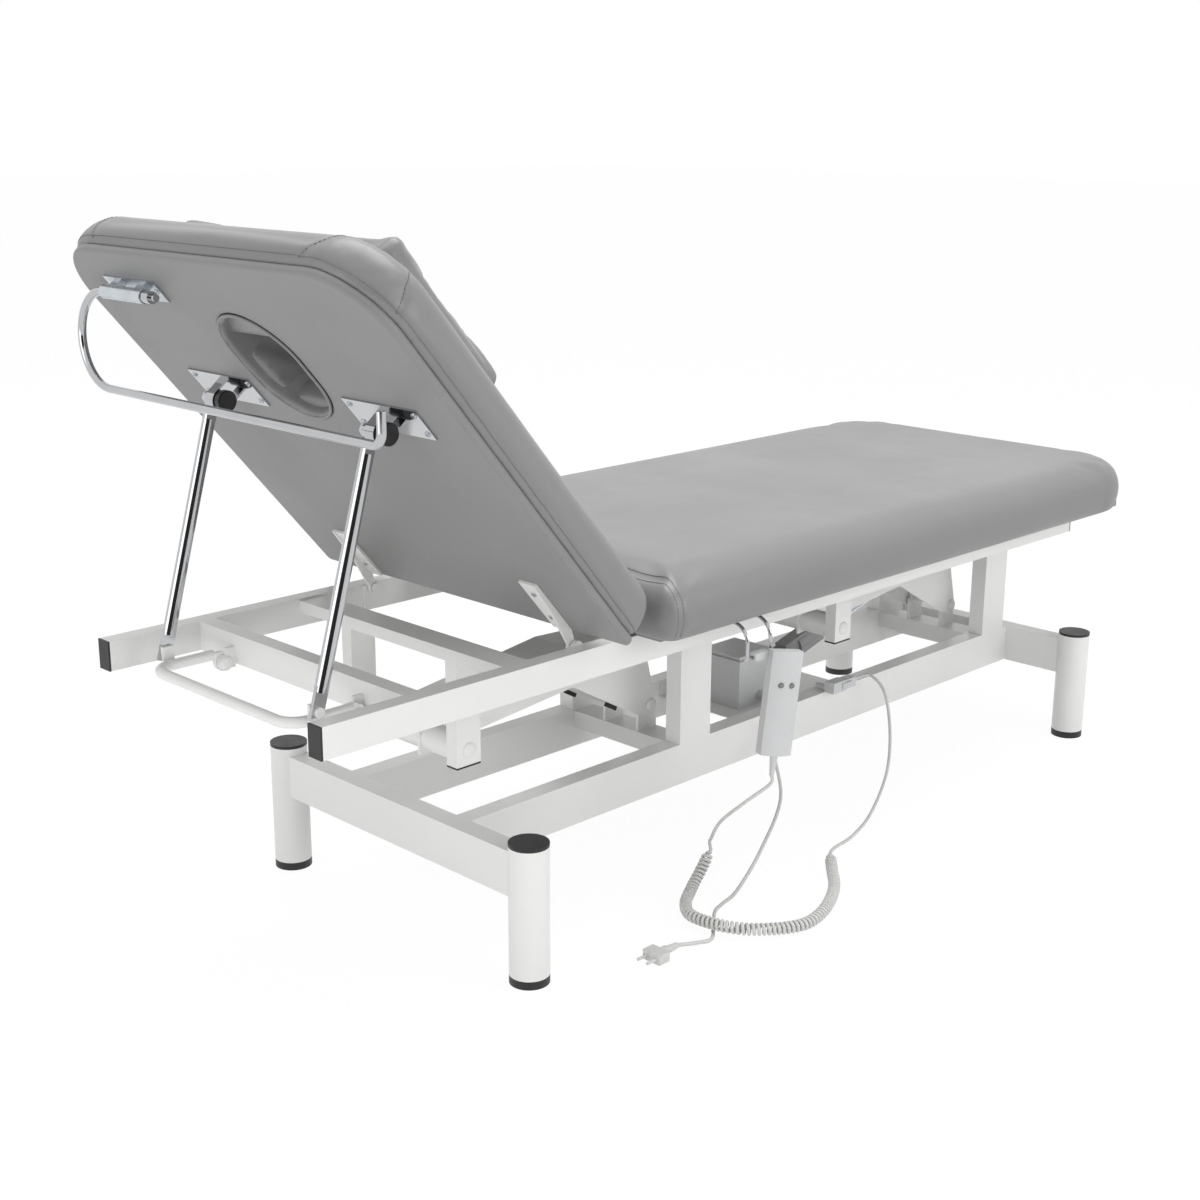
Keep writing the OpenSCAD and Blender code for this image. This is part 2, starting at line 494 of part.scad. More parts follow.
module pillow_slab() { color("silver") place() on_back() translate([-640, 0, board_t + back_t + 2 * fit_gap]) cushion(pillow[0], pillow[1], pillow[2], 20, 30); }

// ---- handset, hanging from the hanger by the hook on its back
module on_hand() { translate(hand_p) rotate([0, handset_lean, 0]) rotate([0, 0, -25]) children(); }
module handset_shell() {
    h = handset[0]; w = handset[1]; t = handset[2];
    color("gainsboro") place() {
        difference() {
            on_hand() intersection() {
                translate([0, 36, -h / 2]) cylinder(r = 36 + t / 2, h = h, $fn = 96);
                translate([-w / 2, -t / 2, -h / 2]) cube([w, t, h]);
            }
            on_hand() translate([0, 30, h / 2 - 12]) rotate([0, 0, 0]) box([-9, -60, 0], [9, -30 - t / 2 - 3.5, 3]);
            on_hand() for (x = [-9, 9]) translate([x, -t / 2 - 1, 30]) rotate([-90, 0, 0]) cylinder(d = 9, h = 5);
        }
        translate([hang_x, 0, 0]) { box([-16, -350, frame_top - 62], [16, -345.5, frame_top - 50]); box([-16, -350, frame_top - 54.5], [16, -337, frame_top - 50]); box([-16, -338.5, frame_top - 62], [16, -336, frame_top - 50]); }
    }
}
module button(x) { on_hand() translate([x, -handset[2] / 2 - 1, 30]) rotate([-90, 0, 0]) { cylinder(d = 8, h = 3); } }
module button_up() { color("gray") place() button(-9); }
module button_down() { color("gray") place() button(9); }
module handset_relief() { color("gainsboro") place() relief_line(); }
module relief_line() { on_hand() translate([0, 0, -handset[0] / 2 - 34]) cylinder(d1 = lead_d + 1.6, d2 = 13, h = 34); }
relief_end = hand_p + [-sin(handset_lean) * (handset[0] / 2 + 34), 0, -cos(handset_lean) * (handset[0] / 2 + 34)];

// round tube along a smooth route, closed at both ends
function cr(a, b, c, d, t) = 0.5 * (2 * b + (c - a) * t + (2 * a - 5 * b + 4 * c - d) * t * t + (3 * b - a - 3 * c + d) * t * t * t);
function route(p, n) = let (m = len(p) - 1) [for (i = [0 : m - 1], j = [0 : n - 1]) cr(p[max(i - 1, 0)], p[i], p[i + 1], p[min(i + 2, m)], j / n), p[m]];
module sweep(q, d, k) {
    m = len(q) - 1;
    dir = [for (i = [0 : m]) let (v = q[min(i + 1, m)] - q[max(i - 1, 0)]) v / norm(v)];
    pts = [for (i = [0 : m]) let (u0 = cross(dir[i], [0.31, 0.29, 0.91]), u = u0 / norm(u0), w = cross(dir[i], u)) for (j = [0 : k - 1]) q[i] + d / 2 * (cos(360 * j / k) * u + sin(360 * j / k) * w)];
    faces = concat([[for (j = [0 : k - 1]) j]], [[for (j = [k - 1 : -1 : 0]) m * k + j]],
        [for (i = [0 : m - 1], j = [0 : k - 1]) [i * k + j, (i + 1) * k + j, (i + 1) * k + (j + 1) % k, i * k + (j + 1) % k]]);
    polyhedron(pts, faces, convexity = 6);
}
coil_a = [438, -250, 58];
coil_b = [632, -345, 20];
plug_end = [948, -152, base_top + 10];
module handset_lead() { color("gainsboro") place() difference() { lead_line(); coil_line(); relief_line(); } }
module lead_line() { sweep(route([relief_end, relief_end + [-3, 0, -14], [402, -345, 176], [394, -306, 136], [412, -272, 92], [432, -252, 74], coil_a], 5), lead_d, 10); }
module handset_coil() { color("gainsboro") place() coil_line(); }
module coil_line() { sweep(route([coil_a, [410, -256, 36], [372, -268, 17], [325, -298, 14], [296, -345, 18], [318, -420, 18], [393, -466, 13], [460, -462, 12], [540, -424, 12], [600, -374, 13], coil_b], 4), curl_d, 12); }
module connector_lead() { color("gainsboro") place() difference() { plug_line(); coil_line(); translate(plug_end + [-10, 0, 0]) rotate([0, 90, 0]) cylinder(d = 9, h = 10.05); } }
module plug_line() { sweep(route([coil_b, [654, -338, 22], [720, -326, 20], [800, -305, 32], [895, -268, 72], [950, -232, 130], [972, -200, 190], [972, -168, 214], plug_end + [12, -4, 2], plug_end], 4), lead_d, 10); }
module connector() {
    color("gainsboro") place() {
        box([868, -163, base_top], [906, -141, base_top + 20]);
        box([906, -161, base_top + 1], [936, -143, base_top + 19]);
        for (y = [-165.5, -141]) box([892, y, base_top + 5], [920, y + 2.5, base_top + 15]);
        translate([936, -152, base_top + 10]) rotate([0, 90, 0]) cylinder(d1 = 14, d2 = 8, h = 12);
        rod_y(876, base_top + 7, -141, -118, 9);
    }
}
mains_in = [800, -60, base_top - 10];
mains_out = [222, -373, 8];
module mains_cord() { color("gainsboro") place() sweep(route([mains_in, mains_in + [0, -14, 0], [792, -86, base_top + 2], [760, -132, base_top + 12], [700, -180, base_top - 2], [648, -207, 160], [615, -250, 95], [503, -300, 50], [425, -318, 12], [385, -322, 3.8], [356, -332, 3.3], [318, -362, 3.3], [282, -390, 3.4], [256, -386, 5], mains_out], 4), mains_d, 10); }
module mains_plug() {
    color("gainsboro") place() translate(mains_out) rotate([0, 0, 180]) {
        rotate([0, 90, 0]) cylinder(d1 = mains_d + 3, d2 = 13, h = 24);
        translate([24, 0, 0]) rotate([0, 90, 0]) cylinder(d = 15.8, h = 26);
        box([34, -17, -7.9], [56, 17, 8]);
        for (y = [-9.5, 9.5]) translate([56, y, 0]) rotate([0, 90, 0]) cylinder(d = 4.8, h = 19);
    }
}

leg_tubes();
leg_caps();
leg_feet();
base_cross_head();
base_cross_foot();
base_rail_near();
base_rail_far();
uprights();
upright_pads();
pivot_lugs();
pivot_pins();
cable_tray();
control_box();
actuator_bracket();
head_arm();
head_torsion();
arm_stop();
foot_arm();
foot_torsion();
lever_pin();
actuator_body();
actuator_tube();
actuator_rod();
rail_near();
rail_far();
rail_caps();
cross_head();
prop_lugs();
prop_pegs();
frame_bars();
post_bars();
lift_posts();
post_caps();
post_domes();
hinge_lugs();
seat_board();
seat_cushion();
handset_hanger();
backrest_board();
backrest_cushion();
hinge_arms();
board_screws();
prop_plates();
prop_pins();
prop_knobs();
prop_struts();
prop_ubar();
roll_plate();
roll_rod();
pillow_slab();
handset_shell();
button_up();
button_down();
handset_relief();
handset_lead();
handset_coil();
connector_lead();
connector();
mains_cord();
mains_plug();
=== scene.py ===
import math, json
import bpy, bmesh
from mathutils import Vector, Matrix, noise
from mathutils.bvhtree import BVHTree
from mathutils.kdtree import KDTree


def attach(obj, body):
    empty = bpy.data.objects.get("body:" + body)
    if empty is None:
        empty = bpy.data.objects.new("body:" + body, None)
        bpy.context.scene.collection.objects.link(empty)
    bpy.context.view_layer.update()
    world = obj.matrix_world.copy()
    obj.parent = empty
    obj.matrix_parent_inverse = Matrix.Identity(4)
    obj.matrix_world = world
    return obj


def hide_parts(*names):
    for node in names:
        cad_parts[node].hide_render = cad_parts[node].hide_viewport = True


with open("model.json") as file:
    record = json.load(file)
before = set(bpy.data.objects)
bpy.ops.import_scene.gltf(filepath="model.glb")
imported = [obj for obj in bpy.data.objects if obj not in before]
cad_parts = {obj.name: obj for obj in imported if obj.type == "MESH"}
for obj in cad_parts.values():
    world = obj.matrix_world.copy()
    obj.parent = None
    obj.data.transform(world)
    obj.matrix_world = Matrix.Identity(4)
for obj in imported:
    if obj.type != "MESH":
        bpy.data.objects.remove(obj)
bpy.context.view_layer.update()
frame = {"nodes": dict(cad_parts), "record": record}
nodes = frame["nodes"]
print("frame loaded:", len(nodes), "nodes")

# the drawing's own millimetres, with x from the head legs, turned into scene metres
layout = {"midX": 633.0, "midY": -15.84, "backFoot": (140.0, 486.0), "tilt": 49.2}


def at(x, y, z):
    return Vector(((x - layout["midX"]) / 1000, (y - layout["midY"]) / 1000, z / 1000))


def onBack(u, y, w):  # u is minus the distance up the backrest, w is height off its underside
    a = math.radians(layout["tilt"])
    return at(layout["backFoot"][0] + u * math.cos(a) + w * math.sin(a), y,
              layout["backFoot"][1] - u * math.sin(a) + w * math.cos(a))


camera = {"place": (-2.1809, -1.9422, 1.2075), "yaw": 44.49, "pitch": 15.70, "roll": 0.38,
          "lens": 52.21, "shiftX": -0.0049, "shiftY": 0.0024}
cam = bpy.data.objects.new("salonCamera", bpy.data.cameras.new("salonCamera"))
bpy.context.scene.collection.objects.link(cam)
cam.data.sensor_width = 36
cam.data.lens = camera["lens"]
cam.data.shift_x = camera["shiftX"]
cam.data.shift_y = camera["shiftY"]
cam.data.clip_end = 50
cam.matrix_world = (Matrix.Translation(camera["place"])
                    @ Matrix.Rotation(math.radians(camera["yaw"] - 90), 4, "Z")
                    @ Matrix.Rotation(math.radians(90 - camera["pitch"]), 4, "X")
                    @ Matrix.Rotation(math.radians(camera["roll"]), 4, "Z"))
bpy.context.scene.camera = cam
bpy.context.scene.view_settings.view_transform = "Standard"


def link(name, mesh):
    obj = bpy.data.objects.new(name, mesh)
    bpy.context.scene.collection.objects.link(obj)
    return obj


def meshOf(name, points, faces, smooth=True):
    mesh = bpy.data.meshes.new(name)
    mesh.from_pydata([tuple(p) for p in points], [], faces)
    mesh.update()
    for p in mesh.polygons:
        p.use_smooth = smooth
    return link(name, mesh)


def pointOut(obj, merge=0.00002):
    bm = bmesh.new()
    bm.from_mesh(obj.data)
    bmesh.ops.remove_doubles(bm, verts=bm.verts, dist=merge)
    bmesh.ops.recalc_face_normals(bm, faces=bm.faces)
    bm.to_mesh(obj.data)
    bm.free()


def applyAll(obj):
    bpy.context.view_layer.update()
    deps = bpy.context.evaluated_depsgraph_get()
    baked = bpy.data.meshes.new_from_object(obj.evaluated_get(deps))
    if obj.type == "MESH":
        obj.modifiers.clear()
        old = obj.data
        obj.data = baked
        bpy.data.meshes.remove(old)
        return obj
    name = obj.name
    obj.name = name + "Line"
    made = link(name, baked)
    bpy.data.objects.remove(obj)
    return made


def catmull(points, steps):  # smooth route through listed points
    out, last = [], len(points) - 1
    for i in range(last):
        a, b = Vector(points[max(i - 1, 0)]), Vector(points[i])
        c, d = Vector(points[i + 1]), Vector(points[min(i + 2, last)])
        for j in range(steps):
            t = j / steps
            out.append(0.5 * (2 * b + (c - a) * t + (2 * a - 5 * b + 4 * c - d) * t * t
                              + (3 * b - a - 3 * c + d) * t * t * t))
    out.append(Vector(points[last]))
    return out


def lineLength(points):
    return sum((points[i + 1] - points[i]).length for i in range(len(points) - 1))


def lineObject(name, points, width, cyclic=False, resolution=4):
    curve = bpy.data.curves.new(name, "CURVE")
    curve.dimensions = "3D"
    spline = curve.splines.new("POLY")
    spline.points.add(len(points) - 1)
    for p, q in zip(spline.points, points):
        p.co = (q[0], q[1], q[2], 1)
    spline.use_cyclic_u = cyclic
    curve.bevel_depth = width / 2
    curve.bevel_resolution = resolution
    curve.use_fill_caps = True
    return link(name, curve)


def newGroup(name, inputs, outputs):
    group = bpy.data.node_groups.new(name, "ShaderNodeTree")
    for label, kind, value in inputs:
        s = group.interface.new_socket(label, in_out="INPUT", socket_type=kind)
        s.default_value = value
    for label, kind in outputs:
        group.interface.new_socket(label, in_out="OUTPUT", socket_type=kind)
    return group, group.nodes.new("NodeGroupInput"), group.nodes.new("NodeGroupOutput")


def wire(tree, a, b):
    tree.links.new(a, b)


def node(tree, kind, **settings):
    n = tree.nodes.new(kind)
    for k, v in settings.items():
        setattr(n, k, v)
    return n


def surfaceMottle():  # slow change of tone and roughness over a surface
    g, i, o = newGroup("surfaceMottle", [
        ("Colour", "NodeSocketColor", (0.5, 0.5, 0.5, 1)), ("Dark", "NodeSocketColor", (0.4, 0.4, 0.4, 1)),
        ("Scale", "NodeSocketFloat", 6.0), ("Amount", "NodeSocketFloat", 0.3),
        ("Roughness", "NodeSocketFloat", 0.5), ("Rough Swing", "NodeSocketFloat", 0.1),
    ], [("Colour", "NodeSocketColor"), ("Roughness", "NodeSocketFloat")])
    place = node(g, "ShaderNodeTexCoord")
    cloud = node(g, "ShaderNodeTexNoise")
    cloud.inputs["Detail"].default_value = 5
    wire(g, place.outputs["Object"], cloud.inputs["Vector"])
    wire(g, i.outputs["Scale"], cloud.inputs["Scale"])
    spread = node(g, "ShaderNodeMapRange")
    spread.inputs["From Min"].default_value = 0.35
    spread.inputs["From Max"].default_value = 0.7
    wire(g, cloud.outputs["Fac"], spread.inputs["Value"])
    much = node(g, "ShaderNodeMath", operation="MULTIPLY")
    wire(g, spread.outputs["Result"], much.inputs[0])
    wire(g, i.outputs["Amount"], much.inputs[1])
    mix = node(g, "ShaderNodeMix", data_type="RGBA")
    wire(g, much.outputs[0], mix.inputs["Factor"])
    wire(g, i.outputs["Colour"], mix.inputs["A"])
    wire(g, i.outputs["Dark"], mix.inputs["B"])
    wire(g, mix.outputs["Result"], o.inputs["Colour"])
    swing = node(g, "ShaderNodeMath", operation="MULTIPLY_ADD")
    wire(g, spread.outputs["Result"], swing.inputs[0])
    wire(g, i.outputs["Rough Swing"], swing.inputs[1])
    wire(g, i.outputs["Roughness"], swing.inputs[2])
    wire(g, swing.outputs[0], o.inputs["Roughness"])
    return g


def leatherGrain():  # pebbled upholstery grain with a soft crease layer
    g, i, o = newGroup("leatherGrain", [
        ("Cell Scale", "NodeSocketFloat", 900.0), ("Crease Scale", "NodeSocketFloat", 14.0),
        ("Crease", "NodeSocketFloat", 0.3),
    ], [("Height", "NodeSocketFloat")])
    place = node(g, "ShaderNodeTexCoord")
    cells = node(g, "ShaderNodeTexVoronoi", feature="SMOOTH_F1")
    wire(g, place.outputs["Object"], cells.inputs["Vector"])
    wire(g, i.outputs["Cell Scale"], cells.inputs["Scale"])
    folds = node(g, "ShaderNodeTexNoise")
    folds.inputs["Detail"].default_value = 4
    wire(g, place.outputs["Object"], folds.inputs["Vector"])
    wire(g, i.outputs["Crease Scale"], folds.inputs["Scale"])
    much = node(g, "ShaderNodeMath", operation="MULTIPLY")
    wire(g, folds.outputs["Fac"], much.inputs[0])
    wire(g, i.outputs["Crease"], much.inputs[1])
    add = node(g, "ShaderNodeMath", operation="MULTIPLY_ADD")
    wire(g, cells.outputs["Distance"], add.inputs[0])
    add.inputs[1].default_value = 0.35
    wire(g, much.outputs[0], add.inputs[2])
    wire(g, add.outputs[0], o.inputs["Height"])
    return g


def fineTexture():  # orange peel of powder coat, spark texture of moulded plastic
    g, i, o = newGroup("fineTexture", [
        ("Scale", "NodeSocketFloat", 500.0), ("Detail", "NodeSocketFloat", 2.0),
    ], [("Height", "NodeSocketFloat")])
    place = node(g, "ShaderNodeTexCoord")
    cloud = node(g, "ShaderNodeTexNoise")
    wire(g, place.outputs["Object"], cloud.inputs["Vector"])
    wire(g, i.outputs["Scale"], cloud.inputs["Scale"])
    wire(g, i.outputs["Detail"], cloud.inputs["Detail"])
    wire(g, cloud.outputs["Fac"], o.inputs["Height"])
    return g


mottle, grain, peel = surfaceMottle(), leatherGrain(), fineTexture()


def finish(name, colour, dark, rough, swing=0.08, scale=6.0, amount=0.5, metal=0.0,
           bump=None, coat=0.0, specular=0.5):
    m = bpy.data.materials.new(name)
    m.use_nodes = True
    t = m.node_tree
    skin = t.nodes["Principled BSDF"]
    tone = node(t, "ShaderNodeGroup", node_tree=mottle)
    tone.inputs["Colour"].default_value = (*colour, 1)
    tone.inputs["Dark"].default_value = (*dark, 1)
    tone.inputs["Scale"].default_value = scale
    tone.inputs["Amount"].default_value = amount
    tone.inputs["Roughness"].default_value = rough
    tone.inputs["Rough Swing"].default_value = swing
    wire(t, tone.outputs["Colour"], skin.inputs["Base Color"])
    wire(t, tone.outputs["Roughness"], skin.inputs["Roughness"])
    skin.inputs["Metallic"].default_value = metal
    skin.inputs["Coat Weight"].default_value = coat
    skin.inputs["Specular IOR Level"].default_value = specular
    if bump:
        kind, values, strength, distance = bump
        relief = node(t, "ShaderNodeGroup", node_tree=kind)
        for k, v in values.items():
            relief.inputs[k].default_value = v
        dent = node(t, "ShaderNodeBump")
        dent.inputs["Strength"].default_value = strength
        dent.inputs["Distance"].default_value = distance
        wire(t, relief.outputs["Height"], dent.inputs["Height"])
        wire(t, dent.outputs["Normal"], skin.inputs["Normal"])
    return m


finishes = {
    "powderCoat": finish("powderCoat", (0.82, 0.82, 0.805), (0.79, 0.79, 0.775), 0.33, 0.06, 5, 0.6,
                         bump=(peel, {"Scale": 420.0, "Detail": 1.5}, 0.12, 0.0004), coat=0.15),
    "seatVinyl": finish("seatVinyl", (0.22, 0.22, 0.22), (0.205, 0.205, 0.205), 0.36, 0.10, 4, 0.6,
                        bump=(grain, {"Cell Scale": 750.0, "Crease Scale": 7.0, "Crease": 0.9},
                              0.16, 0.0006), specular=0.6),
    "panelVinyl": finish("panelVinyl", (0.25, 0.25, 0.25), (0.23, 0.23, 0.23), 0.46, 0.08, 3, 0.7,
                         bump=(grain, {"Cell Scale": 800.0, "Crease Scale": 5.0, "Crease": 1.6},
                               0.18, 0.0006)),
    "stitchThread": finish("stitchThread", (0.19, 0.19, 0.19), (0.15, 0.15, 0.15), 0.7, 0.1, 60),
    "blackCap": finish("blackCap", (0.012, 0.012, 0.013), (0.02, 0.02, 0.02), 0.42, 0.12, 30,
                       bump=(peel, {"Scale": 700.0, "Detail": 3.0}, 0.2, 0.0004)),
    "rubberPad": finish("rubberPad", (0.02, 0.02, 0.02), (0.035, 0.035, 0.035), 0.75, 0.1, 40,
                        bump=(peel, {"Scale": 300.0, "Detail": 4.0}, 0.3, 0.0005)),
    "chrome": finish("chrome", (0.52, 0.525, 0.54), (0.44, 0.445, 0.46), 0.06, 0.07, 12, metal=1.0),
    "zincPlate": finish("zincPlate", (0.60, 0.63, 0.66), (0.48, 0.52, 0.56), 0.22, 0.18, 35, metal=1.0,
                        bump=(peel, {"Scale": 260.0, "Detail": 4.0}, 0.12, 0.0003)),
    "blackKnob": finish("blackKnob", (0.015, 0.015, 0.016), (0.03, 0.03, 0.03), 0.3, 0.12, 40,
                        bump=(peel, {"Scale": 500.0, "Detail": 3.0}, 0.15, 0.0003)),
    "shellPlastic": finish("shellPlastic", (0.60, 0.605, 0.61), (0.57, 0.575, 0.58), 0.38, 0.08, 15,
                           bump=(peel, {"Scale": 1100.0, "Detail": 2.0}, 0.12, 0.0003)),
    "keyPlastic": finish("keyPlastic", (0.20, 0.20, 0.205), (0.16, 0.16, 0.165), 0.45, 0.08, 60,
                         bump=(peel, {"Scale": 1300.0, "Detail": 2.0}, 0.1, 0.0002)),
    "motorPlastic": finish("motorPlastic", (0.30, 0.30, 0.30), (0.26, 0.26, 0.26), 0.5, 0.1, 20,
                           bump=(peel, {"Scale": 800.0, "Detail": 3.0}, 0.2, 0.0004)),
    "cordJacket": finish("cordJacket", (0.66, 0.66, 0.645), (0.60, 0.60, 0.58), 0.42, 0.1, 30,
                         bump=(peel, {"Scale": 600.0, "Detail": 2.0}, 0.1, 0.0002)),
}

looks = {
    "frame_white": "powderCoat", "cap_black": "blackCap", "pad_rubber": "rubberPad",
    "vinyl_seat": "seatVinyl", "vinyl_back": "seatVinyl", "vinyl_pillow": "seatVinyl",
    "board": "panelVinyl", "chrome": "chrome", "zinc": "zincPlate", "knob_black": "blackKnob",
    "shell_grey": "shellPlastic", "button_grey": "keyPlastic", "motor_grey": "motorPlastic",
    "cord_grey": "cordJacket",
}
for part in frame["record"]["subparts"]:
    piece = nodes[part["node"]]
    piece.data.materials.clear()
    piece.data.materials.append(finishes[looks[part["material_slot"]]])
    for face in piece.data.polygons:
        face.material_index = 0
print("finishes made:", len(finishes))


def dress(obj, look, body, slotName, *replaced):
    obj.data.materials.clear()
    obj.data.materials.append(finishes[look])
    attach(obj, body)
    if replaced:
        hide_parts(*replaced)
    return obj


handsetCord = {"wire": 0.0056, "curl": 0.020, "pitch": 0.0078,
               "lean": 8.0, "hand": (455, -369.5, 335), "height": 165, "relief": 34}
lean = math.radians(handsetCord["lean"])
drop = handsetCord["height"] / 2 + handsetCord["relief"]
hx, hy, hz = handsetCord["hand"]
reliefEnd = (hx - math.sin(lean) * drop, hy, hz - math.cos(lean) * drop)
curlStart, curlEnd = (438, -250, 58), (632, -345, 20)
plugEnd = (948, -152, 210)
firstLead = catmull([reliefEnd, (reliefEnd[0] - 3, reliefEnd[1], reliefEnd[2] - 14), (402, -345, 176),
                     (394, -306, 136), (412, -272, 92), (432, -252, 74), curlStart], 6)
curlLine = catmull([curlStart, (410, -256, 36), (372, -268, 17), (325, -298, 14), (296, -345, 18),
                    (318, -420, 18), (393, -466, 13), (460, -462, 12), (540, -424, 12), (600, -374, 13),
                    curlEnd], 40)
lastLead = catmull([curlEnd, (654, -338, 22), (720, -326, 20), (800, -305, 32), (895, -268, 72),
                    (950, -232, 130), (972, -200, 190), (972, -168, 214),
                    (plugEnd[0] + 12, plugEnd[1] - 4, plugEnd[2] + 2), plugEnd], 6)


def curlAround(line, radius, pitch, perTurn=14, ease=0.018):
    line = [p / 1000 for p in line]
    out, turn, run, total = [], 0.0, 0.0, lineLength(line)
    step = pitch / perTurn
    marks, i, s = [], 0, 0.0
    while s < total:  # even steps along the line
        while i < len(line) - 2 and run + (line[i + 1] - line[i]).length < s:
            run += (line[i + 1] - line[i]).length
            i += 1
        seg = line[i + 1] - line[i]
        marks.append((s, line[i] + seg * ((s - run) / seg.length), seg.normalized()))
        s += step
    for s, p, d in marks:
        side = d.cross(Vector((0, 0, 1))).normalized()
        up = side.cross(d).normalized()
        grow = min(1.0, s / ease, (total - s) / ease)
        grow = grow * grow * (3 - 2 * grow)
        turn += 2 * math.pi / perTurn
        out.append(p + radius * max(grow, 0.02) * (math.cos(turn) * up + math.sin(turn) * side))
    return [q * 1000 for q in out]


helix = curlAround(curlLine, (handsetCord["curl"] - handsetCord["wire"]) / 2, handsetCord["pitch"])
wireLine = [at(*p) for p in firstLead[:-1] + helix + lastLead[1:]]
cord = lineObject("handsetCord", wireLine, handsetCord["wire"], resolution=3)
cord = dress(cord, "cordJacket", "base", "cord_grey", "handset_lead", "handset_coil", "connector_lead")
print("handset cord", round(lineLength(wireLine), 3), "m")

mainsCord = {"width": 0.006}
mainsLine = [at(*p) for p in catmull([
    (800, -60, 190), (800, -74, 190), (792, -86, 202), (760, -132, 212), (700, -180, 198),
    (648, -207, 160), (615, -250, 95), (503, -300, 50), (425, -318, 12), (385, -322, 3.8),
    (356, -332, 3.3), (318, -362, 3.3), (282, -390, 3.4), (256, -386, 5), (222, -373, 8)], 6)]
mains = lineObject("mainsCord", mainsLine, mainsCord["width"], resolution=3)
mains = dress(mains, "cordJacket", "base", "cord_grey", "mains_cord")
print("mains cord", round(lineLength(mainsLine), 3), "m")


def roundedOutline(l, w, rHead, rFoot, steps=14):  # plan outline, head end at minus l
    pts = []
    corners = [(-l + rHead, -w / 2 + rHead, rHead, 180), (-rFoot, -w / 2 + rFoot, rFoot, 270),
               (-rFoot, w / 2 - rFoot, rFoot, 0), (-l + rHead, w / 2 - rHead, rHead, 90)]
    for cx, cy, r, a0 in corners:
        for k in range(steps + 1):
            a = math.radians(a0 + 90 * k / steps)
            pts.append((cx + r * math.cos(a), cy + r * math.sin(a)))
    return pts


panel = {"length": 712, "width": 696, "corner": 102,
         "holeAt": 517, "holeLength": 190, "holeWidth": 150, "holeSide": -8}


def holeEdge(u, y, grow):  # where the face hole's edge lies on the way to a point
    away = Vector((u + panel["holeAt"], y - panel["holeSide"])).normalized()
    r, half = panel["holeWidth"] / 2 + grow, (panel["holeLength"] - panel["holeWidth"]) / 2
    low, high = 0.0, 300.0
    for _ in range(24):
        mid = (low + high) / 2
        p = away * mid
        inside = math.hypot(max(abs(p.x) - half, 0), p.y) < r
        low, high = (mid, high) if inside else (low, mid)
    return away.x * low - panel["holeAt"], away.y * low + panel["holeSide"]


# each pad's size, and its edge as steps of inset and height from the underside to the top
backShape = {"foot": 0, "length": 717, "width": 706, "headCorner": 105, "footCorner": 26, "sharpest": 6,
             "edge": [(5, 12.5), (1, 14), (-1.5, 22), (-3, 36), (-1.5, 52), (3, 66), (10, 76), (20, 83),
                      (34, 87), (60, 88)],
             "holeLip": 87, "holeWall": (82, 60, 36, 12.5)}
seatShape = {"foot": 1602, "length": 1386, "width": 712, "headCorner": 34, "footCorner": 135, "sharpest": 8,
             "edge": [(34, 468), (18, 470.5), (7, 477), (1, 490), (-1, 506), (0, 520), (5, 536), (14, 548),
                      (27, 557), (44, 562), (70, 564.5)]}
pillowShape = {"foot": -376, "length": 264, "width": 486, "headCorner": 14, "footCorner": 14, "sharpest": 5,
               "edge": [(8, 89), (2, 93), (0, 100), (-1, 118), (0, 136), (3, 143), (9, 147.5), (22, 150)]}


def padRings(shape):
    rings = []
    for inset, height in shape["edge"]:
        loop = roundedOutline(shape["length"] - 2 * inset, shape["width"] - 2 * inset,
                              max(shape["headCorner"] - inset, shape["sharpest"]),
                              max(shape["footCorner"] - inset, shape["sharpest"]))
        rings.append([(shape["foot"] - inset + u, y, height) for u, y in loop])
    return rings


def ringFaces(rings, count, closed=False):
    faces = []
    for k in range(rings if closed else rings - 1):
        m = (k + 1) % rings
        faces += [(k * count + j, k * count + (j + 1) % count, m * count + (j + 1) % count, m * count + j)
                  for j in range(count)]
    return faces


def backBlock():  # its rings go on over the lip and down the face hole's wall, back to the underside
    rings = padRings(backShape)
    edge = rings[-1]
    rings.append([(*holeEdge(u, y, 8), backShape["holeLip"]) for u, y, _ in edge])
    for w in backShape["holeWall"]:
        rings.append([(*holeEdge(u, y, 2), w) for u, y, _ in edge])
    points = [onBack(*p) for ring in rings for p in ring]
    return meshOf("backBlock", points, ringFaces(len(rings), len(edge), closed=True))


def padBlock(name, shape, place):  # a pad without a hole, with a flat cap on both ends
    rings = padRings(shape)
    count = len(rings[0])
    caps = [tuple(range(count)), tuple((len(rings) - 1) * count + j for j in reversed(range(count)))]
    return meshOf(name, [place(*p) for ring in rings for p in ring], caps + ringFaces(len(rings), count))


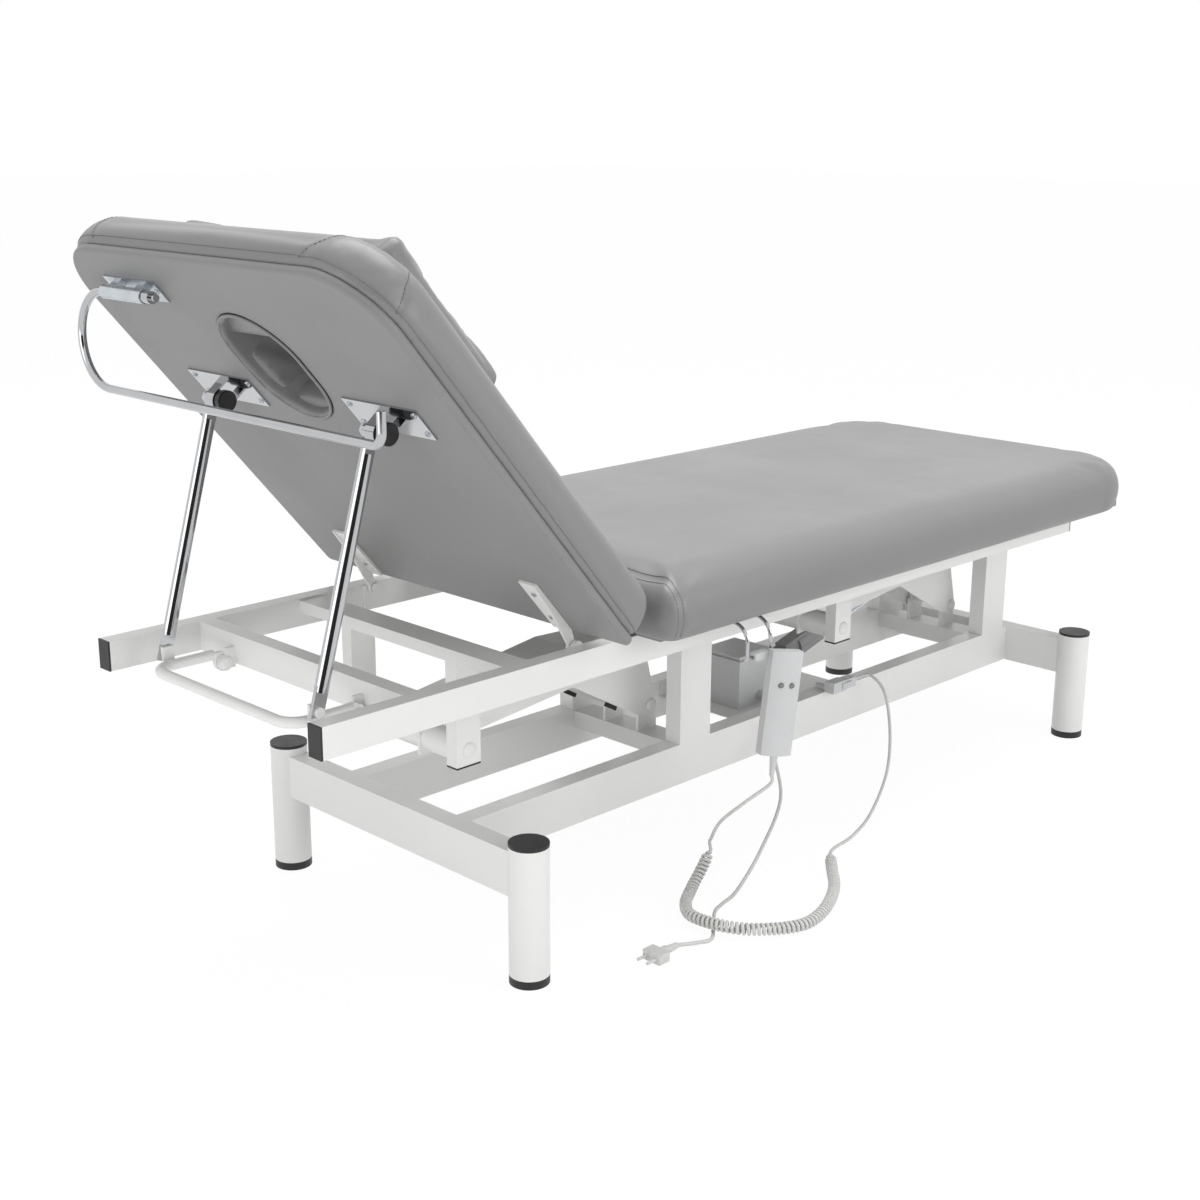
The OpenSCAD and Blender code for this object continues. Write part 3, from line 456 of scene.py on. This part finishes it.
def puff(obj, name, pad, height):  # inflate a foam block while its underside stays flat on its board
    obj.name = name
    pointOut(obj, 0.00005)
    centre = sum((v.co for v in obj.data.vertices), Vector()) / len(obj.data.vertices)
    for v in obj.data.vertices:
        v.co = centre + (v.co - centre) * pad["startSize"]
    mod = obj.modifiers.new("remesh", "REMESH")
    mod.mode = "VOXEL"
    mod.voxel_size = pad["voxel"]
    mod.use_smooth_shade = True
    applyAll(obj)
    start = [v.co.copy() for v in obj.data.vertices]
    held = obj.vertex_groups.new(name="held")
    low = [v.index for v in obj.data.vertices if height(v.co) < pad["heldBelow"]]
    held.add(low, 1.0, "REPLACE")
    cloth = obj.modifiers.new("cloth", "CLOTH")
    s = cloth.settings
    s.quality = 4
    s.mass = 0.3
    s.tension_stiffness = s.compression_stiffness = 18
    s.shear_stiffness = 8
    s.bending_stiffness = 4
    s.use_pressure = True
    s.uniform_pressure_force = pad["pressure"]
    s.vertex_group_mass = "held"
    s.effector_weights.gravity = 0
    cloth.collision_settings.use_collision = False
    cloth.point_cache.frame_start, cloth.point_cache.frame_end = 1, 20
    for f in range(1, 21):
        bpy.context.scene.frame_set(f)
    applyAll(obj)
    for v, was in zip(obj.data.vertices, start):
        move = v.co - was
        if move.length > pad["cap"]:
            v.co = was + move * (pad["cap"] / move.length)
    bpy.context.scene.frame_set(1)
    ease = obj.modifiers.new("ease", "SMOOTH")
    ease.factor = 0.5
    ease.iterations = pad["smooth"]
    applyAll(obj)
    for p in obj.data.polygons:
        p.use_smooth = True
    return obj


tiltBack = math.radians(layout["tilt"])
backOrigin = at(layout["backFoot"][0], 0, layout["backFoot"][1])
backNormal = Vector((math.sin(tiltBack), 0, math.cos(tiltBack)))


def offFloor(p):
    return p.z * 1000


def offBack(p):
    return (p - backOrigin).dot(backNormal) * 1000


seatPad = {"startSize": 1.0, "voxel": 0.006, "pressure": 3.0, "cap": 0.005, "heldBelow": 476, "smooth": 9}
seat = puff(padBlock("seatBlock", seatShape, at), "seatPad", seatPad, offFloor)
backPad = {"startSize": 1.0, "voxel": 0.006, "pressure": 3.0, "cap": 0.004, "heldBelow": 20, "smooth": 5}
back = puff(backBlock(), "backPad", backPad, offBack)
pillowPad = {"startSize": 1.0, "voxel": 0.005, "pressure": 4.0, "cap": 0.007, "heldBelow": 93, "smooth": 3}
pillow = puff(padBlock("pillowBlock", pillowShape, onBack), "headPillow", pillowPad, offBack)
for piece, body, slotName, solid in ((seat, "upper_frame", "vinyl_seat", "seat_cushion"),
                                     (back, "backrest", "vinyl_back", "backrest_cushion"),
                                     (pillow, "pillow", "vinyl_pillow", "pillow_slab")):
    dress(piece, "seatVinyl", body, slotName, solid)
print("padding done", [len(p.data.polygons) for p in (seat, back, pillow)])


def stitchTree():
    tree = bpy.data.node_groups.new("stitchRow", "GeometryNodeTree")
    tree.interface.new_socket("Line", in_out="INPUT", socket_type="NodeSocketGeometry")
    for label, value in (("Stitch Pitch", 0.006), ("Stitch Length", 0.0042), ("Thread", 0.0006)):
        s = tree.interface.new_socket(label, in_out="INPUT", socket_type="NodeSocketFloat")
        s.default_value = value
    s = tree.interface.new_socket("Thread Finish", in_out="INPUT", socket_type="NodeSocketMaterial")
    tree.interface.new_socket("Stitches", in_out="OUTPUT", socket_type="NodeSocketGeometry")
    i, o = tree.nodes.new("NodeGroupInput"), tree.nodes.new("NodeGroupOutput")
    even = tree.nodes.new("GeometryNodeResampleCurve")
    even.mode = "LENGTH"
    wire(tree, i.outputs["Line"], even.inputs["Curve"])
    wire(tree, i.outputs["Stitch Pitch"], even.inputs["Length"])
    bead = tree.nodes.new("GeometryNodeMeshCylinder")
    bead.inputs["Vertices"].default_value = 6
    bead.inputs["Radius"].default_value = 1.0
    bead.inputs["Depth"].default_value = 1.0
    place = tree.nodes.new("GeometryNodeInstanceOnPoints")
    tangent = tree.nodes.new("GeometryNodeInputTangent")
    turn = tree.nodes.new("FunctionNodeAlignRotationToVector")
    turn.axis = "Z"
    wire(tree, tangent.outputs[0], turn.inputs["Vector"])
    size = tree.nodes.new("ShaderNodeCombineXYZ")
    wire(tree, i.outputs["Thread"], size.inputs["X"])
    wire(tree, i.outputs["Thread"], size.inputs["Y"])
    wire(tree, i.outputs["Stitch Length"], size.inputs["Z"])
    wire(tree, even.outputs["Curve"], place.inputs["Points"])
    wire(tree, bead.outputs["Mesh"], place.inputs["Instance"])
    wire(tree, turn.outputs["Rotation"], place.inputs["Rotation"])
    wire(tree, size.outputs["Vector"], place.inputs["Scale"])
    real = tree.nodes.new("GeometryNodeRealizeInstances")
    wire(tree, place.outputs["Instances"], real.inputs["Geometry"])
    paint = tree.nodes.new("GeometryNodeSetMaterial")
    wire(tree, real.outputs["Geometry"], paint.inputs["Geometry"])
    wire(tree, i.outputs["Thread Finish"], paint.inputs["Material"])
    wire(tree, paint.outputs["Geometry"], o.inputs["Stitches"])
    return tree


stitchRow = stitchTree()


def treeInput(tree, label):
    return next(s.identifier for s in tree.interface.items_tree if s.name == label and s.in_out == "INPUT")


def stitches(name, lines, pitch=0.006):
    curve = bpy.data.curves.new(name, "CURVE")
    curve.dimensions = "3D"
    for line in lines:
        spline = curve.splines.new("POLY")
        spline.points.add(len(line) - 1)
        for p, q in zip(spline.points, line):
            p.co = (*q, 1)
    obj = link(name, curve)
    mod = obj.modifiers.new("stitchRow", "NODES")
    mod.node_group = stitchRow
    mod[treeInput(stitchRow, "Stitch Pitch")] = pitch
    mod[treeInput(stitchRow, "Thread Finish")] = finishes["stitchThread"]
    return applyAll(obj)


def snapTo(pad, points, lift):
    tree = BVHTree.FromPolygons([v.co for v in pad.data.vertices], [p.vertices for p in pad.data.polygons])
    out = []
    for p in points:
        near, normal, _, _ = tree.find_nearest(p)
        out.append(near + normal * lift)
    for _ in range(3):  # take out the voxel steps
        inner = [(out[i - 1] + out[i] * 2 + out[i + 1]) / 4 for i in range(1, len(out) - 1)]
        out = [out[0]] + inner + [out[-1]]
    return out


def press(pad, lines, width, depth):  # push the pad in along a seam
    marks = [p for line in lines for p in line]
    kd = KDTree(len(marks))
    for i, p in enumerate(marks):
        kd.insert(p, i)
    kd.balance()
    normals = [v.normal.copy() for v in pad.data.vertices]
    for v, n in zip(pad.data.vertices, normals):
        _, _, d = kd.find(v.co)
        if d < width:
            v.co -= n * depth * (0.5 + 0.5 * math.cos(math.pi * d / width))


def denser(points, gap):
    out = []
    for a, b in zip(points, points[1:]):
        n = max(1, int((Vector(b) - Vector(a)).length / gap))
        out += [Vector(a).lerp(Vector(b), k / n) for k in range(n)]
    out.append(Vector(points[-1]))
    return out


backSeam = {"height": 14, "row": 5, "outU": 6, "outY": 12, "footCorner": 30}
outline = roundedOutline(backShape["length"] + backSeam["outU"], backShape["width"] + backSeam["outY"],
                         backShape["headCorner"] + 4, backSeam["footCorner"])
outline = outline[45:] + outline[:30]  # from one foot corner round the head to the other
ring = denser([onBack(u, y, backSeam["height"]) for u, y in outline], 0.006)
ringRow = denser([onBack(u, y, backSeam["height"] + backSeam["row"]) for u, y in outline], 0.006)
gores = []
for side in (-1, 1):
    for u, y, slideU, slideY in ((-725, side * 238, 0, side * 22), (-640, side * 364, -12, 0)):
        inU, inY = (26, 0) if abs(u) > 700 else (0, -side * 26)
        gores.append(denser([
            onBack(u, y, 17),
            onBack(u + slideU * 0.5, y + slideY * 0.5, 40),
            onBack(u + slideU, y + slideY, 62),
            onBack(u + slideU + inU * 0.3, y + slideY + inY * 0.3, 82),
            onBack(u + slideU * 0.7 + inU, y + slideY * 0.7 + inY, 90),
        ], 0.005))
backLines = [snapTo(back, line, 0.0) for line in [ring] + gores]
press(back, backLines, 0.008, 0.0016)
goreRows = [[p + Vector((0, 0.004, 0)) for p in gore] for gore in gores]
backRows = [snapTo(back, line, 0.0003) for line in [ringRow] + goreRows]
backStitches = stitches("backStitches", backRows)
dress(backStitches, "stitchThread", "backrest", "vinyl_back")

seatSeam = {"rows": (236, 244), "out": 10}
section = []
for x in seatSeam["rows"]:
    half = seatShape["width"] / 2 + seatSeam["out"]
    path = [(x, -half, 474), (x, -half, 540), (x, -half + 12, 560), (x, -half + 34, 574),
            (x, half - 34, 574), (x, half - 12, 560), (x, half, 540), (x, half, 474)]
    section.append(denser([at(*p) for p in path], 0.006))
seatLines = [snapTo(seat, [(a + b) / 2 for a, b in zip(section[0], section[1])], 0.0)]
press(seat, seatLines, 0.012, 0.0022)
seatStitches = stitches("seatStitches", [snapTo(seat, line, 0.0003) for line in section])
dress(seatStitches, "stitchThread", "upper_frame", "vinyl_seat")
print("seams sewn")


def holeOutline(grow, steps=28):
    r, half = panel["holeWidth"] / 2 + grow, (panel["holeLength"] - panel["holeWidth"]) / 2
    pts = []
    for sign, a0 in ((1, -90), (-1, 90)):
        for k in range(steps + 1):
            a = math.radians(a0 + 180 * k / steps)
            pts.append((-panel["holeAt"] + sign * half + r * math.cos(a),
                        panel["holeSide"] + r * math.sin(a)))
    return pts


def panelObject():
    curve = bpy.data.curves.new("backPanel", "CURVE")
    curve.dimensions = "2D"
    curve.fill_mode = "BOTH"
    board = roundedOutline(panel["length"] - 2, panel["width"], panel["corner"], 10)
    for loop in ([(u - 1, y) for u, y in board], holeOutline(4)):
        spline = curve.splines.new("POLY")
        spline.points.add(len(loop) - 1)
        for p, q in zip(spline.points, loop):
            p.co = (q[0] / 1000, q[1] / 1000, 0, 1)
        spline.use_cyclic_u = True
    curve.extrude = 0.0012
    curve.bevel_depth = 0.006
    curve.bevel_resolution = 4
    curve.offset = -0.005
    obj = applyAll(link("backPanel", curve))
    for v in obj.data.vertices:
        v.co = onBack(v.co.x * 1000, v.co.y * 1000, v.co.z * 1000 + 7.2)
    pointOut(obj)
    return obj


backPanel = dress(panelObject(), "panelVinyl", "backrest", "board", "backrest_board")

lining = {"depth": 88, "pucker": 2.4, "rings": 26, "thick": 0.0016}
base = holeOutline(0, 44)
points = []
cu, cy = -panel["holeAt"], panel["holeSide"]
for k in range(lining["rings"]):
    t = k / (lining["rings"] - 1)
    w = -1.5 + t * (lining["depth"] - 2)
    for u, y in base:
        d = Vector((u - cu, y - cy)).normalized()
        low = math.exp(-t * 5)
        broad = noise.noise(Vector((d.x * 3.1, d.y * 3.1, t * 2.5 + 3)))
        fine = noise.noise(Vector((d.x * 9, d.y * 9, t * 6)))
        fold = lining["pucker"] * (0.35 + low) * (broad + 0.45 * fine)
        lip = 3.2 * math.exp(-((t * 30) ** 2)) if k else 4.0
        grow = -2.2 + lip + min(fold, 1.0)
        points.append(onBack(u + d.x * grow, y + d.y * grow, w))
holeLining = meshOf("holeLining", points, ringFaces(lining["rings"], len(base)))
thick = holeLining.modifiers.new("thick", "SOLIDIFY")
thick.thickness = lining["thick"]
thick.offset = 0
applyAll(holeLining)
pointOut(holeLining)
dress(holeLining, "panelVinyl", "backrest", "vinyl_back")
rim = [onBack(u, y, -1.0) for u, y in holeOutline(2.5, 40)]
holeRim = applyAll(lineObject("holeRim", rim, 0.0045, cyclic=True))
for p in holeRim.data.polygons:
    p.use_smooth = True
dress(holeRim, "panelVinyl", "backrest", "vinyl_back")
print("backrest underside done")

studio = {"size": 30.0, "shadow": 0.10, "glow": 1.045, "sky": 0.58}
far = studio["size"]
floor = meshOf("studioFloor", [(-far, -far, 0), (far, -far, 0), (far, far, 0), (-far, far, 0)],
               [(0, 1, 2, 3)], False)
floorLook = bpy.data.materials.new("studioFloor")
floorLook.use_nodes = True
t = floorLook.node_tree
flat = t.nodes["Principled BSDF"]
flat.inputs["Base Color"].default_value = (0.85, 0.85, 0.85, 1)
flat.inputs["Roughness"].default_value = 0.9
flat.inputs["Specular IOR Level"].default_value = 0.1
glow = node(t, "ShaderNodeEmission")
glow.inputs["Strength"].default_value = studio["glow"]
seen = node(t, "ShaderNodeLightPath")
either = node(t, "ShaderNodeMath", operation="MAXIMUM")
wire(t, seen.outputs["Is Camera Ray"], either.inputs[0])
wire(t, seen.outputs["Is Glossy Ray"], either.inputs[1])
lit = node(t, "ShaderNodeMath", operation="MULTIPLY")
lit.inputs[1].default_value = 1 - studio["shadow"]
wire(t, either.outputs[0], lit.inputs[0])
blendFloor = node(t, "ShaderNodeMixShader")
wire(t, lit.outputs[0], blendFloor.inputs["Fac"])
wire(t, flat.outputs[0], blendFloor.inputs[1])
wire(t, glow.outputs[0], blendFloor.inputs[2])
wire(t, blendFloor.outputs[0], t.nodes["Material Output"].inputs["Surface"])
floor.data.materials.append(floorLook)

# a dark sheet behind the camera that only glossy rays see: it paints dark reflections into the chrome and
# vinyl
card = {"middle": (-4.3, -3.7, 1.15), "wide": 6.2, "high": 2.6}
across = Vector((0.7, -0.71, 0))
corners = [Vector(card["middle"]) + across * (a * card["wide"] / 2) + Vector((0, 0, b * card["high"] / 2))
           for a, b in ((-1, -1), (1, -1), (1, 1), (-1, 1))]
paintedReflectionCard = meshOf("paintedReflectionCard", corners, [(0, 1, 2, 3)], False)
paintedReflectionCard.data.materials.append(finishes["rubberPad"])
for way in ("camera", "diffuse", "shadow", "transmission", "volume_scatter"):  # seen only in reflections, as a painted dark reflection
    setattr(paintedReflectionCard, "visible_" + way, False)

world = bpy.data.worlds.new("studio")
bpy.context.scene.world = world
world.use_nodes = True
w = world.node_tree
sky = w.nodes["Background"]
sky.inputs["Color"].default_value = (1, 1, 1, 1)
sky.inputs["Strength"].default_value = studio["sky"]
white = node(w, "ShaderNodeBackground")
white.inputs["Color"].default_value = (1, 1, 1, 1)
white.inputs["Strength"].default_value = 1.0
seenW = node(w, "ShaderNodeLightPath")
eitherW = node(w, "ShaderNodeMath", operation="MAXIMUM")
wire(w, seenW.outputs["Is Camera Ray"], eitherW.inputs[0])
wire(w, seenW.outputs["Is Glossy Ray"], eitherW.inputs[1])
blendSky = node(w, "ShaderNodeMixShader")
wire(w, eitherW.outputs[0], blendSky.inputs["Fac"])
wire(w, sky.outputs[0], blendSky.inputs[1])
wire(w, white.outputs[0], blendSky.inputs[2])
wire(w, blendSky.outputs[0], w.nodes["World Output"].inputs["Surface"])


def lamp(name, place, target, size, watts):
    data = bpy.data.lights.new(name, "AREA")
    data.shape = "RECTANGLE"
    data.size, data.size_y = size
    data.energy = watts
    obj = bpy.data.objects.new(name, data)
    bpy.context.scene.collection.objects.link(obj)
    obj.location = place
    obj.rotation_euler = (Vector(target) - Vector(place)).to_track_quat("-Z", "Y").to_euler()
    return obj


lamps = {
    "topSoft": ((0.2, 0.1, 3.2), (0, 0, 0.5), (2.6, 1.8), 68),
    "nearSide": ((0.8, -3.2, 1.5), (0, 0, 0.4), (2.4, 1.4), 26),
    "headSide": ((-3.6, 0.4, 1.0), (0, 0, 0.5), (1.8, 1.4), 13),
    "lowHead": ((-1.9, -1.2, 0.12), (-0.5, -0.1, 0.7), (1.8, 0.4), 7),
}
for name, (place, target, size, watts) in lamps.items():
    light = lamp(name, place, target, size, watts)
    light.visible_camera = False
    light.visible_glossy = name != "lowHead"
print("studio lit")
